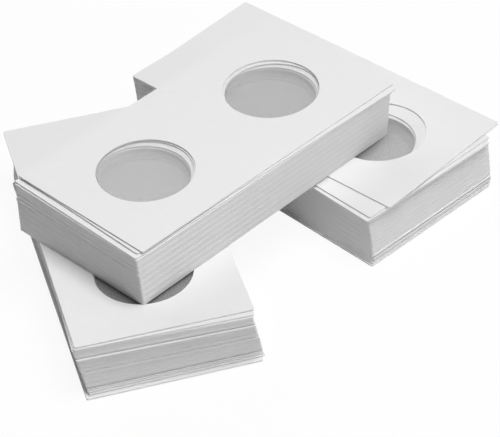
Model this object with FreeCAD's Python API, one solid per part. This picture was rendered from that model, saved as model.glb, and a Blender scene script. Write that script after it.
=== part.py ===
import FreeCAD, Part

import math
import os
from collections import namedtuple

# A pack of one hundred unfolded coin flips, laid out as three stacks. Two stacks stand on the
# table and the third lies across them. A flip is a strip of white board with two round windows
# and a crease across its middle, and its inner face carries one sheet of clear film. The flips
# lie film side down. One that is picked up folds shut under itself, along the crease, and holds
# a coin between its two windows.
#
# Millimetres. +Z is up and +X runs along the top stack. The origin is the middle of the whole
# footprint, at table level.

# One flip
FLIP_LENGTH = 101.6
FLIP_WIDTH = 50.8
FILM = 0.04
FILM_MARGIN = 0.5
BOARD = 0.55
PITCH = FILM + BOARD
WINDOW_RADIUS = 14.15
SCORE_WIDTH = 0.7
SCORE_DEPTH = 0.3
FOLD_GAP = 0.04

# How many flips each stack holds, and how many of them lie loose on its run
LOWER_COUNT = 34
TOP_COUNT = 32
LOOSE_COUNT = 3

# Where a flip lies: the middle of the strip, and the turn of its long side in degrees
Pose = namedtuple("Pose", "x y turn")

TOP_BASE = Pose(-1.85, 0.95, 1.0)
TOP_HEAD = Pose(-2.45, -0.65, -0.5)
TOP_THIRD = Pose(-2.2, -0.55, -0.75)
TOP_SECOND = Pose(-0.6, -0.35, -1.4)
TOP_FIRST = Pose(-0.3, 0.0, 0.25)

LEFT_BOTTOM = Pose(-28.3, 6.8, -119.6)
LEFT_BASE = Pose(-26.5, 8.3, -119.45)
LEFT_HEAD = Pose(-29.05, 6.05, -122.3)
LEFT_SECOND = Pose(-29.05, 6.3, -121.4)
LEFT_FIRST = Pose(-29.25, 7.45, -120.1)

RIGHT_BASE = Pose(45.65, 5.45, -91.05)
RIGHT_HEAD = Pose(44.4, 5.55, -91.5)
RIGHT_THIRD = Pose(43.95, 3.95, -92.4)
RIGHT_SECOND = Pose(44.2, 4.7, -91.1)
RIGHT_FIRST = Pose(47.15, 4.8, -87.1)

# How far the middle of a stack stands out of the straight line from its base to its head
TOP_BOW = (0.0, 0.0)
LEFT_BOW = (0.1, -0.05)
RIGHT_BOW = (0.3, -0.2)

# Squared by hand: each flip lies a little out of line, and a few stand proud of their neighbours,
# along the strip or across it
SCATTER = 0.04
Proud = namedtuple("Proud", "along across")
IN_LINE = Proud(0, 0)

TOP_PROUD = {
    17: Proud(-0.1, 0),
    19: Proud(-0.25, 0),
    22: Proud(-0.15, 0),
    28: Proud(-0.1, 0),
}
LEFT_PROUD = {
    1: Proud(0.9, 0),
    2: Proud(0.5, 0),
    3: Proud(0.1, 0),
    4: Proud(-0.3, 0),
    15: Proud(0.25, 0),
    18: Proud(0.2, 0),
    25: Proud(0.6, 0),
    27: Proud(0.2, 0),
}
RIGHT_PROUD = {
    0: Proud(0.3, -0.75),
    1: Proud(0.2, -0.35),
    4: Proud(0.3, 0),
    6: Proud(0.3, 0),
}

UP = FreeCAD.Vector(0, 0, 1)


def plate(start, end, half_width, low, high):
    """A flat plate along the strip, from start to end and from low to high."""
    corner = FreeCAD.Vector(start, -half_width, low)
    return Part.makeBox(end - start, 2 * half_width, high - low, corner)


def punched_window(side):
    """side is -1 for the left leaf and +1 for the right leaf."""
    middle = FreeCAD.Vector(side * FLIP_LENGTH / 4, 0, 0)
    return Part.makeCylinder(WINDOW_RADIUS, 2 * PITCH, middle)


def score():
    """The V pressed into the inner face along the crease."""
    across = 2 * FLIP_WIDTH
    start = FreeCAD.Vector(-SCORE_WIDTH / 2, -FLIP_WIDTH, FILM)
    end = start + FreeCAD.Vector(SCORE_WIDTH, 0, 0)
    root = start + FreeCAD.Vector(SCORE_WIDTH / 2, 0, SCORE_DEPTH)
    profile = Part.Face(Part.makePolygon([start, end, root, start]))
    return profile.extrude(FreeCAD.Vector(0, across, 0))


def flip_board():
    strip = plate(-FLIP_LENGTH / 2, FLIP_LENGTH / 2, FLIP_WIDTH / 2, FILM, PITCH)
    return strip.cut([punched_window(-1), punched_window(1), score()])


def flip_film():
    reach = FLIP_LENGTH / 2 - FILM_MARGIN
    return plate(-reach, reach, FLIP_WIDTH / 2 - FILM_MARGIN, 0, FILM)


def leaf_of(shape, side):
    """What a flip's board or film has on one side of the crease."""
    start, end = sorted((side * FOLD_GAP / 2, side * FLIP_LENGTH))
    return shape.common(plate(start, end, FLIP_WIDTH, -PITCH, 2 * PITCH))


def laid(shape, pose, level):
    """A shape drawn about the strip's middle, laid at a pose on a level."""
    turn = FreeCAD.Rotation(UP, pose.turn)
    shape.Placement = FreeCAD.Placement(FreeCAD.Vector(pose.x, pose.y, level), turn)
    return shape


def flip_nodes(name, pose, level):
    return {
        f"{name}_board": laid(flip_board(), pose, level),
        f"{name}_film": laid(flip_film(), pose, level),
    }


def folding_flip_nodes(name, pose, level):
    """A flip in two leaves, which meet at the crease with the fold's gap between them."""
    nodes = {}
    for word, side in (("left", -1), ("right", 1)):
        nodes[f"{name}_{word}_leaf"] = laid(leaf_of(flip_board(), side), pose, level)
        nodes[f"{name}_{word}_film"] = laid(leaf_of(flip_film(), side), pose, level)
    return nodes


class Stack:
    """Flips piled by hand: one at the bottom, a run pressed together, and loose ones on top."""

    def __init__(self, name, floor, count, base, head, bow, proud):
        self.name = name
        self.floor = floor
        self.count = count
        self.base = base
        self.head = head
        self.bow = bow
        self.proud = proud
        self.run = range(1, count - LOOSE_COUNT)

    def level(self, index):
        return self.floor + index * PITCH

    def leaning(self, index):
        """The pose at this height of the leaning, twisted and bowed stack."""
        share = index / (self.count - 1)
        swell = 4 * share * (1 - share)
        x = self.base.x + (self.head.x - self.base.x) * share + self.bow[0] * swell
        y = self.base.y + (self.head.y - self.base.y) * share + self.bow[1] * swell
        turn = self.base.turn + (self.head.turn - self.base.turn) * share
        return Pose(x, y, turn)

    def pose(self, index):
        """The pose of one flip, which lies a little along and across from its neighbours."""
        middle = self.leaning(index)
        proud = self.proud.get(index, IN_LINE)
        along = SCATTER * math.sin(2.3 * index) + proud.along
        across = SCATTER * math.sin(1.7 * index + 1) + proud.across
        turn = math.radians(middle.turn)
        x = middle.x + along * math.cos(turn) - across * math.sin(turn)
        y = middle.y + along * math.sin(turn) + across * math.cos(turn)
        return Pose(x, y, middle.turn)

    def window_ring(self, side, index):
        middle = self.leaning(index)
        turn = math.radians(middle.turn)
        x = middle.x + side * FLIP_LENGTH / 4 * math.cos(turn)
        y = middle.y + side * FLIP_LENGTH / 4 * math.sin(turn)
        return Part.Wire(Part.makeCircle(WINDOW_RADIUS, FreeCAD.Vector(x, y, self.level(index)), UP))

    def well(self, side):
        """The run's windows, one above another, make a well that leans with the stack."""
        indexes = (self.run.start, (self.run.start + self.run.stop) / 2, self.run.stop)
        return Part.makeLoft([self.window_ring(side, index) for index in indexes], True, True)

    def run_boards(self):
        """The run's boards pressed into one solid, each keeping its own outline."""
        boards = []
        for index in self.run:
            low = FILM if index == self.run.start else 0
            strip = plate(-FLIP_LENGTH / 2, FLIP_LENGTH / 2, FLIP_WIDTH / 2, low, PITCH)
            boards.append(laid(strip, self.pose(index), self.level(index)))
        return boards[0].multiFuse(boards[1:]).cut([self.well(-1), self.well(1)])

    def run_nodes(self):
        """The pressed run, and the film of its lowest flip."""
        lowest = self.run.start
        return {
            f"{self.name}_run_boards": self.run_boards(),
            f"{self.name}_run_film": laid(flip_film(), self.pose(lowest), self.level(lowest)),
        }


left = Stack("left", 0, LOWER_COUNT, LEFT_BASE, LEFT_HEAD, LEFT_BOW, LEFT_PROUD)
right = Stack("right", 0, LOWER_COUNT, RIGHT_BASE, RIGHT_HEAD, RIGHT_BOW, RIGHT_PROUD)
top = Stack("top", LOWER_COUNT * PITCH, TOP_COUNT, TOP_BASE, TOP_HEAD, TOP_BOW, TOP_PROUD)

bottom_poses = {left: LEFT_BOTTOM, right: right.pose(0), top: top.pose(0)}
third_poses = {left: left.pose(left.run.stop), right: RIGHT_THIRD, top: TOP_THIRD}
second_poses = {left: LEFT_SECOND, right: RIGHT_SECOND, top: TOP_SECOND}
first_poses = {left: LEFT_FIRST, right: RIGHT_FIRST, top: TOP_FIRST}

nodes = {}
for stack in (left, right, top):
    third, second, first = range(stack.run.stop, stack.count)
    nodes.update(flip_nodes(f"{stack.name}_bottom_flip", bottom_poses[stack], stack.level(0)))
    nodes.update(stack.run_nodes())
    nodes.update(flip_nodes(f"{stack.name}_third_flip", third_poses[stack], stack.level(third)))
    nodes.update(flip_nodes(f"{stack.name}_second_flip", second_poses[stack], stack.level(second)))
    make_first = folding_flip_nodes if stack is top else flip_nodes
    nodes.update(make_first(f"{stack.name}_first_flip", first_poses[stack], stack.level(first)))

# The origin goes under the middle of the footprint
box = Part.makeCompound(list(nodes.values())).BoundBox
to_origin = FreeCAD.Vector(-box.Center.x, -box.Center.y, -box.ZMin)

os.makedirs("parts", exist_ok=True)
for name, shape in nodes.items():
    shape.translate(to_origin)
    shape.exportStep(f"parts/{name}.step")
    print(f"{name}: {len(shape.Solids)} solid, {shape.Volume:.1f} mm3, valid {shape.isValid()}")
print("moved to the origin by", tuple(round(value, 4) for value in to_origin))
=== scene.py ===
# %% [markdown]
# # A pack of coin flips
#
# A coin flip is a strip of white board with two round windows and one sheet of clear film. It folds
# shut over what it holds and is stapled. New ones are sold flat, by the hundred, and this pack
# lies in three hand-squared stacks: two on the table and a third across them.
#
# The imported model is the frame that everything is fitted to. It holds the right sizes and the
# right places, so no board is placed by eye here. What Blender adds is each board as a sheet of
# its own, with worn edges and paper that looks like paper, and the films inside the stacks.

import math

import bpy
import numpy as np
from mathutils import Matrix, Vector


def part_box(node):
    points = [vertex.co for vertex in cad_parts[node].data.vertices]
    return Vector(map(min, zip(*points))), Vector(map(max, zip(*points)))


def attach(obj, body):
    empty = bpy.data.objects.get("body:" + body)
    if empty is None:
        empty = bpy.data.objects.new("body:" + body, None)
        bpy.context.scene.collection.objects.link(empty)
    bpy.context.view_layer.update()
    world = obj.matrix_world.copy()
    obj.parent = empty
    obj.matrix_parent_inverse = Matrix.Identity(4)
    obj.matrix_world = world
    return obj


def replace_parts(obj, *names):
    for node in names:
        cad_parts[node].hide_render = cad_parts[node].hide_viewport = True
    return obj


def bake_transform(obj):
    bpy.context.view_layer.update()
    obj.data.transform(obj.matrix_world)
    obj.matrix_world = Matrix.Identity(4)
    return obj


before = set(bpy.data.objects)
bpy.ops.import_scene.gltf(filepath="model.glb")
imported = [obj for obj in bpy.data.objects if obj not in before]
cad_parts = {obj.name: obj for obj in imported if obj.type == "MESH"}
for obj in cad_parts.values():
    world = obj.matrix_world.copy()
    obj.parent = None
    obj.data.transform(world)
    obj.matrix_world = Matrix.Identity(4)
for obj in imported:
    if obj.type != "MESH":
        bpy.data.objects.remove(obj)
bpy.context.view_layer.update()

# %% [markdown]
# The camera comes first, because every later choice is judged through it. Its angle, distance
# and lens were fitted to the photograph, from the corners of the stacks and the rims of the
# windows. It is a long lens, so the stacks hardly taper, and it leans a few degrees to one side.

# %% Camera
MM = 0.001
AZIMUTH, ELEVATION, LEAN = (math.radians(angle) for angle in (-42.76, 39.348, -3.736))
AIM = Vector((12.05, -9.86, 0.0)) * MM
DISTANCE = 820.0 * MM
LENS = 198.2
SENSOR_WIDTH = 36.0
NEAREST = 50.0 * MM
# A ray to the bottom of a pile passes the upper and the lower face of every film above it
MOST_CLEAR_FACES = 40

turn = Matrix.Rotation(AZIMUTH, 4, "Z") @ Matrix.Rotation(math.pi / 2 - ELEVATION, 4, "X")
turn = turn @ Matrix.Rotation(LEAN, 4, "Z")
camera = bpy.data.objects.new("camera", bpy.data.cameras.new("camera"))
camera.data.lens = LENS
camera.data.sensor_width = SENSOR_WIDTH
camera.data.clip_start = NEAREST
camera.matrix_world = Matrix.Translation(AIM + turn.col[2].to_3d() * DISTANCE) @ turn
bpy.context.scene.collection.objects.link(camera)
bpy.context.scene.camera = camera
bpy.context.scene.view_settings.view_transform = "Standard"
bpy.context.scene.cycles.transparent_max_bounces = MOST_CLEAR_FACES
print("camera at", [round(value, 3) for value in camera.matrix_world.translation])

# %% [markdown]
# Two small helpers keep the materials readable. Colours are written as sRGB hex values, as a
# paint or paper chart gives them, and Blender works in linear light, so one function turns the
# one into the other. The second helper adds a shader node with its settings and its links.

# %% Helpers for materials
def linear(code):
    """An sRGB hex colour in linear light: a straight line near black, and a power of 2.4 above."""
    srgb = np.array([int(code[start:start + 2], 16) for start in (1, 3, 5)]) / 255
    light = np.where(srgb <= 0.04045, srgb / 12.92, ((srgb + 0.055) / 1.055) ** 2.4)
    return (*light.tolist(), 1.0)


def add_node(tree, kind, inputs=None, **settings):
    """Adds a node, makes its settings, and gives each named input a value or a link."""
    made = tree.nodes.new(kind)
    for name, value in settings.items():
        setattr(made, name, value)
    for name, value in (inputs or {}).items():
        if isinstance(value, bpy.types.NodeSocket):
            tree.links.new(value, made.inputs[name])
        else:
            made.inputs[name].default_value = value
    return made


def new_tree(name):
    """A new material's empty node tree, with its output node."""
    material = bpy.data.materials.new(name)
    material.use_nodes = True
    material.node_tree.nodes.clear()
    return material, material.node_tree, add_node(material.node_tree, "ShaderNodeOutputMaterial")


# %% [markdown]
# ## The board
#
# Flips are cut from solid bleached board: white wood pulp, pressed, then coated with clay on its
# faces so that they are smooth. The coated face is a bright and nearly matt white. Held to the
# light, pulp is cloudy, because the fibres gather in flocks a few millimetres across, and the
# surface keeps a fine tooth. Both are faint here, as they are on the real thing: they should be
# felt more than seen.

# %% Coated white board
def coated_board():
    """Clay-coated bleached board: white, nearly matt, faintly cloudy, with a fine tooth."""
    material, tree, output = new_tree("coated_white_board")
    place = add_node(tree, "ShaderNodeTexCoord").outputs["Object"]
    flock_mm, tooth_mm = 3.0, 0.35
    flocks = add_node(tree, "ShaderNodeTexNoise", {
        "Vector": place, "Scale": 1 / (flock_mm * MM), "Detail": 3.0, "Roughness": 0.6})
    tooth = add_node(tree, "ShaderNodeTexNoise", {
        "Vector": place, "Scale": 1 / (tooth_mm * MM), "Detail": 2.0})
    cloud = add_node(tree, "ShaderNodeValToRGB", {"Fac": flocks.outputs["Fac"]})
    cloud.color_ramp.elements[0].position = 0.35
    cloud.color_ramp.elements[0].color = linear("#EAEAEA")
    cloud.color_ramp.elements[1].position = 0.65
    cloud.color_ramp.elements[1].color = linear("#EBEBEB")
    bump = add_node(tree, "ShaderNodeBump", {
        "Height": tooth.outputs["Fac"], "Strength": 0.15, "Distance": 0.01 * MM})
    shader = add_node(tree, "ShaderNodeBsdfPrincipled", {
        "Base Color": cloud.outputs["Color"], "Roughness": 0.62, "IOR": 1.5,
        "Specular IOR Level": 0.25, "Normal": bump.outputs["Normal"]})
    tree.links.new(shader.outputs["BSDF"], output.inputs["Surface"])
    return material


# %% [markdown]
# Where the die has cut through, there is no coating. The edge shows bare pulp in thin plies, a
# little duller than the face, with a tiny burr. The plies are a noise stretched along the sheet,
# and each flip is a touch lighter or darker than the next, because no two sat in the same place
# in the stack of sheets that was cut. That is what draws the fine lines down the side of a stack.

# %% Cut board edge
def cut_edge():
    """Bare pulp at a die-cut edge: matt, a little duller than the face, in thin plies."""
    material, tree, output = new_tree("cut_board_edge")
    place = add_node(tree, "ShaderNodeTexCoord").outputs["Object"]
    ply_mm, fibre_mm = 0.14, 1.6
    stretched = add_node(tree, "ShaderNodeMapping", {
        "Vector": place, "Scale": (1 / fibre_mm, 1 / fibre_mm, 1 / ply_mm)})
    plies = add_node(tree, "ShaderNodeTexNoise", {
        "Vector": stretched.outputs["Vector"], "Scale": 1 / MM, "Detail": 3.0})
    flip = add_node(tree, "ShaderNodeAttribute", attribute_name="flip_shade")
    mixed = add_node(tree, "ShaderNodeMath", {
        0: plies.outputs["Fac"], 1: 0.5, 2: flip.outputs["Fac"]}, operation="MULTIPLY_ADD")
    shades = add_node(tree, "ShaderNodeValToRGB", {"Fac": mixed.outputs[0]})
    shades.color_ramp.elements[0].position = 0.3
    shades.color_ramp.elements[0].color = linear("#E1E1E1")
    shades.color_ramp.elements[1].position = 0.7
    shades.color_ramp.elements[1].color = linear("#E6E6E6")
    bump = add_node(tree, "ShaderNodeBump", {
        "Height": plies.outputs["Fac"], "Strength": 0.12, "Distance": 0.02 * MM})
    shader = add_node(tree, "ShaderNodeBsdfPrincipled", {
        "Base Color": shades.outputs["Color"], "Roughness": 0.9, "IOR": 1.5,
        "Specular IOR Level": 0.2, "Normal": bump.outputs["Normal"]})
    tree.links.new(shader.outputs["BSDF"], output.inputs["Surface"])
    return material


# %% [markdown]
# ## The film
#
# The windows are closed by clear polyester film, 0.04 mm thick. One sheet of it can hardly be
# seen. It only takes a little light away and gives a soft shine, so most of it is transparent.
#
# A run of thirty flips holds thirty films, one above another. Each turns back a little of the
# light, and together they look like a silvery grey floor some way down, which is why the windows
# of a pack look filled. Thirty clear sheets would be slow to render. So the upper part of a pile
# is a few thin films, and the rest, whose films can't be told apart, is one sheet with the look
# of the pile. That sheet lies 5 mm down in the top stack, 7 in the right one and 14 in the left
# one, where the photograph shows the windows deeper in the shade.

# %% Clear film, and a pile of films
def clear_film():
    """Clear polyester film: nearly invisible, with a soft shine."""
    material, tree, output = new_tree("clear_polyester_film")
    place = add_node(tree, "ShaderNodeTexCoord").outputs["Object"]
    ripple_mm = 12.0
    ripples = add_node(tree, "ShaderNodeTexNoise", {
        "Vector": place, "Scale": 1 / (ripple_mm * MM), "Detail": 1.0})
    bump = add_node(tree, "ShaderNodeBump", {
        "Height": ripples.outputs["Fac"], "Strength": 0.4, "Distance": 0.1 * MM})
    shader = add_node(tree, "ShaderNodeBsdfPrincipled", {
        "Base Color": linear("#F4F4F4"), "Roughness": 0.12, "IOR": 1.6, "Alpha": 0.06,
        "Normal": bump.outputs["Normal"]})
    tree.links.new(shader.outputs["BSDF"], output.inputs["Surface"])
    return material


def piled_film(name, cover):
    """Many films seen through each other: silvery grey, softly shining."""
    material, tree, output = new_tree(name)
    place = add_node(tree, "ShaderNodeTexCoord").outputs["Object"]
    ripple_mm = 9.0
    ripples = add_node(tree, "ShaderNodeTexNoise", {
        "Vector": place, "Scale": 1 / (ripple_mm * MM), "Detail": 1.5})
    bump = add_node(tree, "ShaderNodeBump", {
        "Height": ripples.outputs["Fac"], "Strength": 0.3, "Distance": 0.2 * MM})
    shader = add_node(tree, "ShaderNodeBsdfPrincipled", {
        "Base Color": linear("#E3E3E3"), "Roughness": 0.45, "IOR": 1.6, "Alpha": cover,
        "Normal": bump.outputs["Normal"]})
    tree.links.new(shader.outputs["BSDF"], output.inputs["Surface"])
    return material


BOARD_FINISHES = [coated_board(), cut_edge()]
CLEAR_FILM = clear_film()
FLOOR_OF_PILE = piled_film("piled_polyester_films", 1.0)
# How many flips down each pile turns solid, how many flips apart the films above that are, and
# how much of what lies behind it each of them covers. The films are alike in all three stacks,
# but in the right pile one film with the cover of one stands for two, and in the left pile one
# with less cover stands for three. That is painted shade that dims those windows, on top of the
# real shade of the stack lying across them.
PILES = {"top": (8, 1, 0.1), "right": (12, 2, 0.1), "left": (24, 3, 0.04)}
print("finishes:", [material.name for material in (*BOARD_FINISHES, CLEAR_FILM)])

# %% [markdown]
# ## One flip as a surface
#
# A leaf of a flip is a square with a round window, so it is a ring. That suggests the two
# parameters: the angle round the window, and the way round the ring's cross-section, from the
# window's rim, over the face, down the outer edge and back underneath. Every point is worked out
# at once with numpy.
#
# The reach of the square in each direction comes from one formula, and a short arc rounds the
# corners. The angles are closer together there. On the crease side there is no outer edge: the
# two leaves share those points, and the underside dips into the scored V that makes the board
# fold in the right place.

# %% The size of one flip
FLIP_LENGTH, FLIP_WIDTH = 101.6, 50.8
BOARD, FILM, FILM_MARGIN = 0.55, 0.04, 0.5
PITCH = BOARD + FILM
WINDOW_RADIUS = 14.15
HALF_LEAF = FLIP_WIDTH / 2
CORNER_RADIUS, CORNER_STEPS = 0.6, 7
EDGE_ROUNDING = 0.05
SCORE_HALF_WIDTH, SCORE_DEPTH = 0.2, 0.12


def leaf_angles(steps):
    """Even angles round the window, with more of them at the corners, in radians."""
    even = np.arange(steps) * 360 / steps
    arc = math.degrees(math.atan(HALF_LEAF / (HALF_LEAF - CORNER_RADIUS))) - 45
    notch = math.degrees(math.atan(HALF_LEAF / (HALF_LEAF - SCORE_HALF_WIDTH))) - 45
    rounded = np.linspace(-arc, arc, CORNER_STEPS)
    extra = np.concatenate([45 + rounded, 315 + rounded, [135 - notch, 225 + notch]])
    return np.radians(np.unique(np.round(np.concatenate([even, extra]), 6)))


def leaf_reach(angles):
    """How far the leaf reaches from its window's middle: half a side over the larger of cosine
    and sine, and at the outer corners the far root of a line meeting a small circle."""
    cosine, sine = np.abs(np.cos(angles)), np.abs(np.sin(angles))
    square = HALF_LEAF / np.maximum(cosine, sine)
    inner = HALF_LEAF - CORNER_RADIUS
    along = inner * (cosine + sine)
    arc = along + np.sqrt(np.maximum(along ** 2 - 2 * inner ** 2 + CORNER_RADIUS ** 2, 0))
    corner = (HALF_LEAF * np.minimum(cosine, sine) > inner * np.maximum(cosine, sine))
    return np.where(corner & (np.cos(angles) > 0), arc, square)


def leaf_surface(steps):
    """The right-hand leaf as a grid of points (angle, place on the cross-section, xyz), in mm.

    Distance from the window's middle runs: rim, rim, rim + rounding, reach - inset, reach, reach,
    reach - inset, rim + rounding. Height runs: low, high, top, top, high, low, bottom, bottom."""
    angles = leaf_angles(steps)
    reach = leaf_reach(angles)
    crease = np.cos(angles) <= -math.sqrt(0.5) + 1e-7
    inset = np.where(crease, SCORE_HALF_WIDTH, EDGE_ROUNDING) * reach / HALF_LEAF
    rim = np.full_like(angles, WINDOW_RADIUS)
    low, high = EDGE_ROUNDING, BOARD - EDGE_ROUNDING
    distance = np.stack([rim, rim, rim + EDGE_ROUNDING, reach - inset, reach, reach,
                         reach - inset, rim + EDGE_ROUNDING], axis=1)
    height = np.tile([low, high, BOARD, BOARD, high, low, 0, 0], (len(angles), 1))
    height[crease, 4] = BOARD
    height[crease, 5] = SCORE_DEPTH
    x = FLIP_LENGTH / 4 + distance * np.cos(angles)[:, None]
    y = distance * np.sin(angles)[:, None]
    return np.stack([x, y, height + FILM], axis=2), crease


def ring_faces(around, across):
    """Quads of a grid that closes both ways, turned so that they face outwards."""
    i, j = np.meshgrid(np.arange(around), np.arange(across), indexing="ij")
    i_next, j_next = (i + 1) % around, (j + 1) % across
    quads = [i * across + j, i * across + j_next, i_next * across + j_next, i_next * across + j]
    return np.stack(quads, axis=2).reshape(-1, 4), i.ravel(), j.ravel()


def flip_surface(steps):
    """A whole board: the leaf and its mirror image, joined along the crease."""
    points, crease = leaf_surface(steps)
    around, across = points.shape[:2]
    faces, i, j = ring_faces(around, across)
    inside = crease[i] & crease[(i + 1) % around] & (j == 4)
    faces, finish = faces[~inside], np.isin(j, (0, 4))[~inside].astype(np.int32)
    right = points.reshape(-1, 3)
    both = np.concatenate([right, right * (-1, 1, 1)])
    faces = np.concatenate([faces, faces[:, ::-1] + len(right)])
    merged, new_index = np.unique(np.round(both, 6), axis=0, return_inverse=True)
    return merged, new_index.ravel()[faces], np.tile(finish, 2)


board_points, board_faces, board_finish = flip_surface(steps=96)
print("one board:", len(board_points), "points,", len(board_faces), "faces")

# %% [markdown]
# ## Laying flips on a stack
#
# A stack squared by hand leans a little, twists a little and bows a little, and each flip sits up
# to a tenth of a millimetre out of line with the next, apart from a few that stand proud. The
# same few driving numbers that the solid model uses give the place of every flip in a run. The
# bottom flips and the ones that lie loose are solids of their own, so their places are read from
# the model.

# %% Places of the flips
SCATTER, ALONG_RATE, ACROSS_RATE = 0.04, 2.3, 1.7
LOOSE_COUNT = 3
LEFT_BOTTOM = (-28.3, 6.8)
STACKS = {
    "left": dict(floor=0, count=34, base=(-26.5, 8.3, -119.45), head=(-29.05, 6.05, -122.3),
                 bow=(0.1, -0.05), proud={1: (0.9, 0), 2: (0.5, 0), 3: (0.1, 0), 4: (-0.3, 0),
                                          15: (0.25, 0), 18: (0.2, 0), 25: (0.6, 0), 27: (0.2, 0)}),
    "right": dict(floor=0, count=34, base=(45.65, 5.45, -91.05), head=(44.4, 5.55, -91.5),
                  bow=(0.3, -0.2), proud={1: (0.2, -0.35), 4: (0.3, 0), 6: (0.3, 0)}),
    "top": dict(floor=34 * PITCH, count=32, base=(-1.85, 0.95, 1.0), head=(-2.45, -0.65, -0.5),
                bow=(0.0, 0.0), proud={17: (-0.1, 0), 19: (-0.25, 0), 22: (-0.15, 0),
                                       28: (-0.1, 0)}),
}


def measured_place(*nodes):
    """x, y, height and turn of a strip in mm and radians, from the four corners of its solids."""
    low, high = (np.array(corner) / MM for corner in zip(*(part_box(node) for node in nodes)))
    low, high = low.min(axis=0), high.max(axis=0)
    middle = (low + high) / 2
    corners = np.concatenate([
        np.array([vertex.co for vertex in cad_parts[node].data.vertices]) / MM
        for node in nodes])
    offsets = corners[:, :2] - middle[:2]
    # Only the strip's four corners lie further from its middle than half its length
    offsets = offsets[np.hypot(*offsets.T) > FLIP_LENGTH / 2]
    strengths, axes = np.linalg.eigh(offsets.T @ offsets)
    along = axes[:, np.argmax(strengths)]
    return np.array([middle[0], middle[1], low[2] - FILM, math.atan2(along[1], along[0])])


def run_places(stack, to_origin):
    """x, y, height and turn of each flip in a run: a straight lean, a parabola for the bow, and
    sines for the small scatter along and across the strip."""
    index = np.arange(1, stack["count"] - LOOSE_COUNT)
    share = index / (stack["count"] - 1)
    swell = 4 * share * (1 - share)
    base, head = np.array(stack["base"]), np.array(stack["head"])
    x, y, turns = (base + (head - base) * share[:, None]).T
    turns = np.radians(turns)
    proud = np.array([stack["proud"].get(int(number), (0, 0)) for number in index])
    along = SCATTER * np.sin(ALONG_RATE * index) + proud[:, 0]
    across = SCATTER * np.sin(ACROSS_RATE * index + 1) + proud[:, 1]
    x = x + stack["bow"][0] * swell + along * np.cos(turns) - across * np.sin(turns)
    y = y + stack["bow"][1] * swell + along * np.sin(turns) + across * np.cos(turns)
    height = stack["floor"] + index * PITCH
    return np.stack([x + to_origin[0], y + to_origin[1], height, turns], axis=1)


# The left stack's lowest flip has a known place before the move to the origin
to_origin = measured_place("left_bottom_flip_board")[:2] - LEFT_BOTTOM
print("to origin, mm:", to_origin.round(4))

# %% [markdown]
# ## The boards
#
# One board's surface is laid at every place at once, and the boards of a run become one object,
# because they move together. Each board's points carry its shade, a sine of its height, which
# the material of the cut edge reads. Each flip that lies loose is an object of its own and rides
# on its own body, so that it moves with its joint. Every sheet replaces the solid it stands for.

# %% From surfaces to objects
# The shade of a flip's edge, how far it strays, and how fast it changes, in radians a mm
SHADE, SHADE_SPREAD, SHADE_RATE = 0.25, 0.06, 29.0
# Two faces that meet at more than this many degrees keep a sharp edge between them
SHARPEST_SMOOTH = 30


def laid(points, places):
    """Points drawn about a strip's middle, turned and moved to each place: rows of xyz in mm."""
    x, y, height, turns = (column[:, None] for column in places.T)
    cosine, sine = np.cos(turns), np.sin(turns)
    return np.stack([x + points[:, 0] * cosine - points[:, 1] * sine,
                     y + points[:, 0] * sine + points[:, 1] * cosine,
                     height + points[:, 2]], axis=2)


def new_object(name, points, faces, materials, finish=None):
    """A mesh object at the origin, from points in mm, with smooth shading between sharp edges."""
    mesh = bpy.data.meshes.new(name)
    mesh.from_pydata((points * MM).tolist(), [], faces.tolist())
    for material in materials:
        mesh.materials.append(material)
    if finish is not None:
        mesh.polygons.foreach_set("material_index", np.ascontiguousarray(finish, np.int32))
    mesh.shade_smooth()
    mesh.set_sharp_from_angle(angle=math.radians(SHARPEST_SMOOTH))
    made = bpy.data.objects.new(name, mesh)
    bpy.context.scene.collection.objects.link(made)
    return made


def boards_at(name, places):
    """Boards laid at these places, as one object."""
    places = np.atleast_2d(places)
    points = laid(board_points, places).reshape(-1, 3)
    steps = np.arange(len(places))[:, None, None] * len(board_points)
    faces = (board_faces[None] + steps).reshape(-1, 4)
    made = new_object(name, points, faces, BOARD_FINISHES, np.tile(board_finish, len(places)))
    shades = made.data.attributes.new("flip_shade", "FLOAT", "POINT")
    by_height = SHADE + SHADE_SPREAD * np.sin(places[:, 2] * SHADE_RATE)
    shades.data.foreach_set("value", np.repeat(by_height, len(board_points)).astype(np.float32))
    return made


for name, stack in STACKS.items():
    run = boards_at(f"{name}_run_sheets", run_places(stack, to_origin))
    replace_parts(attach(run, f"{name}_stack"), f"{name}_run_boards")
    bottom = boards_at(f"{name}_bottom_sheet", measured_place(f"{name}_bottom_flip_board"))
    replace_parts(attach(bottom, f"{name}_stack"), f"{name}_bottom_flip_board")
    for order in ("third", "second", "first"):
        flip = f"{name}_{order}_flip"
        if (name, order) == ("top", "first"):
            continue
        sheet = boards_at(f"{flip}_sheet", measured_place(f"{flip}_board"))
        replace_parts(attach(sheet, flip), f"{flip}_board")
    low, high = (np.array(corner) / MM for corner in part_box(f"{name}_run_boards"))
    corners = np.array([vertex.co for vertex in run.data.vertices]) / MM
    print(name, "run of", stack["count"] - LOOSE_COUNT - 1, "sheets; off the solid by, mm:",
          (corners.min(axis=0) - low).round(2), (corners.max(axis=0) - high).round(2))

# %% [markdown]
# ## The flip that folds
#
# On the real flip the crease is a line of crushed board, which bends like a hinge without a
# gap. The solid model has two leaves that meet there. Here it is one flat sheet in place of both,
# laid across the crease with its scored V. Its turn is read first, and turned half round when it
# points the wrong way, so that the sheet lies the right way round.

# %% One sheet in place of both leaves
leaves = ("top_first_flip_left_leaf", "top_first_flip_right_leaf")
place = measured_place(*leaves)
if math.cos(place[3]) < 0:
    place[3] += math.pi
folding = boards_at("top_first_flip_sheet", place)
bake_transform(folding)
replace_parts(folding, *leaves)

# %% [markdown]
# ## The films
#
# The films that are nodes of the model are flat sheets already, and they only take the look of
# the clear film. The ones inside the runs are made here. Film is bonded to the board round each
# window and is taken to slacken over the hole, a tenth of a millimetre in the middle: one less
# the square of the distance from the window's middle, squared again to be smooth at the rim.
# These sheets are a little thinner than the real film, so that they touch no board.

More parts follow.
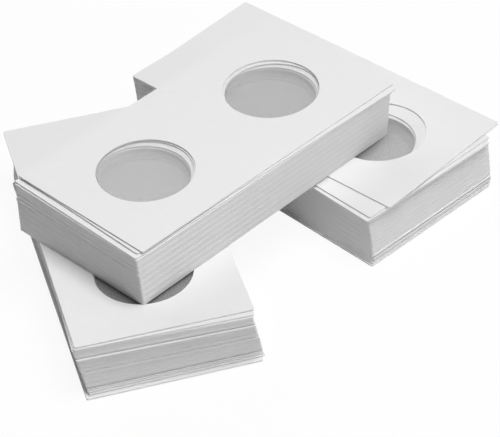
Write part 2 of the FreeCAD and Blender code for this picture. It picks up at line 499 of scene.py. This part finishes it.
# %% Films
FILM_TOP, FILM_MADE, FILM_SLACK = 0.035, 0.03, 0.12

for name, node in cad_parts.items():
    if name.endswith("_film"):
        node.data.materials.clear()
        node.data.materials.append(CLEAR_FILM)


def film_surface(across, along):
    """A thin closed sheet over the whole flip: two grids of (u, v), the lower one turned over,
    and a rim between them."""
    u = np.linspace(-1, 1, along) * (FLIP_LENGTH / 2 - FILM_MARGIN)
    v = np.linspace(-1, 1, across) * (FLIP_WIDTH / 2 - FILM_MARGIN)
    x, y = np.meshgrid(u, v, indexing="ij")
    from_window = np.hypot(np.abs(x) - FLIP_LENGTH / 4, y) / WINDOW_RADIUS
    dome = np.clip(1 - from_window ** 2, 0, 1) ** 2
    upper = np.stack([x, y, FILM_TOP - FILM_SLACK * dome], axis=2).reshape(-1, 3)
    lower = upper - (0, 0, FILM_MADE)
    i, j = np.meshgrid(np.arange(along - 1), np.arange(across - 1), indexing="ij")
    a = (i * across + j).ravel()
    quads = np.stack([a, a + across, a + across + 1, a + 1], axis=1)
    edge = np.concatenate([np.arange(0, along * across, across),
                           (along - 1) * across + np.arange(1, across),
                           np.arange((along - 1) * across - 1, across - 2, -across),
                           np.arange(across - 2, 0, -1)])
    after = np.roll(edge, -1)
    count = along * across
    rim = np.stack([edge, edge + count, after + count, after], axis=1)
    faces = np.concatenate([quads, quads[:, ::-1] + count, rim])
    return np.concatenate([upper, lower]), faces


film_points, film_faces = film_surface(across=33, along=65)
for name, stack in STACKS.items():
    bottom, step, cover = PILES[name]
    film_in_pile = piled_film(f"polyester_film_in_{name}_pile", cover)
    for depth in (*range(2, bottom, step), bottom):
        finish = FLOOR_OF_PILE if depth == bottom else film_in_pile
        place = run_places(stack, to_origin)[-depth]
        points = laid(film_points, np.atleast_2d(place)).reshape(-1, 3)
        piled = new_object(f"{name}_run_film_{depth}_down", points, film_faces, [finish])
        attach(piled, f"{name}_stack")
    print(name, "pile solid", round(bottom * PITCH, 1), "mm down, with cover", cover, "above")

# %% [markdown]
# ## Floor
#
# The pack is shown on plain white with hardly a shadow. Lighting a real card that brightly would
# burn out the boards too. So the camera sees mostly a plain white, with a small share of lit card
# that keeps the shadow, and the light that goes from the floor to the sides of the stacks is
# what a white card gives back.

# %% Floor
WHITE_SHARE = 0.92
FLOOR_HALF_WIDTH, FLOOR_DROP = 3000.0, 0.05


def floor_finish():
    """A white sweep: the camera sees it as white with a faint shadow; it lights as white card."""
    material, tree, output = new_tree("white_paper_sweep")
    path = add_node(tree, "ShaderNodeLightPath")
    seen = add_node(tree, "ShaderNodeMath", {
        0: path.outputs["Is Camera Ray"], 1: path.outputs["Is Glossy Ray"]}, operation="ADD")
    seen = add_node(tree, "ShaderNodeMath", {
        0: seen.outputs[0], 1: path.outputs["Is Transmission Ray"]}, operation="ADD",
        use_clamp=True)
    share = add_node(tree, "ShaderNodeMath", {
        0: seen.outputs[0], 1: WHITE_SHARE}, operation="MULTIPLY")
    card = add_node(tree, "ShaderNodeBsdfDiffuse", {"Color": linear("#F3F3F3")})
    glow = add_node(tree, "ShaderNodeEmission", {"Color": (1, 1, 1, 1), "Strength": 1.0})
    mix = add_node(tree, "ShaderNodeMixShader", {
        0: share.outputs[0], 1: card.outputs[0], 2: glow.outputs[0]})
    tree.links.new(mix.outputs[0], output.inputs["Surface"])
    return material


corners = np.array([[-1, -1, 0], [1, -1, 0], [1, 1, 0], [-1, 1, 0]]) * FLOOR_HALF_WIDTH
corners = corners - (0, 0, FLOOR_DROP)
floor = new_object("floor", corners, np.array([[0, 1, 2, 3]]), [floor_finish()])
print("floor:", 2 * FLOOR_HALF_WIDTH * MM, "m wide,", FLOOR_DROP, "mm under the pack")

# %% [markdown]
# ## Light
#
# The tops are bright and even, the sides that face right are a little darker, the sides that
# face left are darker still, and every shadow is soft. That is one large light overhead, two weak
# ones where the right-hand sides face, and one from behind that evens out the tops. The room
# itself gives very little, or the slivers of the lower windows wouldn't stay dark. Each light's
# strength is written as how bright it alone would show a white board that faces it, which makes
# them easy to compare.

# %% Lights
ROOM_LIGHT = 0.02

world = bpy.data.worlds.new("studio")
world.use_nodes = True
bpy.context.scene.world = world
world.node_tree.nodes.clear()
world_output = add_node(world.node_tree, "ShaderNodeOutputWorld")
path = add_node(world.node_tree, "ShaderNodeLightPath")
room = add_node(world.node_tree, "ShaderNodeBackground", {
    "Color": (1, 1, 1, 1), "Strength": ROOM_LIGHT})
white = add_node(world.node_tree, "ShaderNodeBackground", {"Color": (1, 1, 1, 1)})
mixed = add_node(world.node_tree, "ShaderNodeMixShader", {
    0: path.outputs["Is Camera Ray"], 1: room.outputs[0], 2: white.outputs[0]})
world.node_tree.links.new(mixed.outputs[0], world_output.inputs["Surface"])


def soft_light(name, toward, distance, size, share):
    """A square area light of this size, aimed at the pack. share is how bright it alone would
    show white board that faces it: share times pi squared times the distance squared is its
    power in watts."""
    lamp = bpy.data.lights.new(name, "AREA")
    lamp.shape = "SQUARE"
    lamp.size = size
    lamp.energy = share * math.pi ** 2 * distance ** 2
    made = bpy.data.objects.new(name, lamp)
    away = Vector(toward).normalized()
    made.location = away * distance
    made.rotation_mode = "QUATERNION"
    made.rotation_quaternion = away.to_track_quat("Z", "Y")
    bpy.context.scene.collection.objects.link(made)
    print(name, "light:", round(lamp.energy, 2), "W from", made.location.to_tuple(2))


soft_light("overhead", toward=(0.0, -0.32, 1.0), distance=1.2, size=0.6, share=0.8)
soft_light("key", toward=(0.5, -0.8, 0.6), distance=1.2, size=1.0, share=0.13)
soft_light("front", toward=(0.0, -1.0, 0.3), distance=1.2, size=1.0, share=0.13)
soft_light("back", toward=(0.2, 1.0, 0.7), distance=1.2, size=1.0, share=0.31)
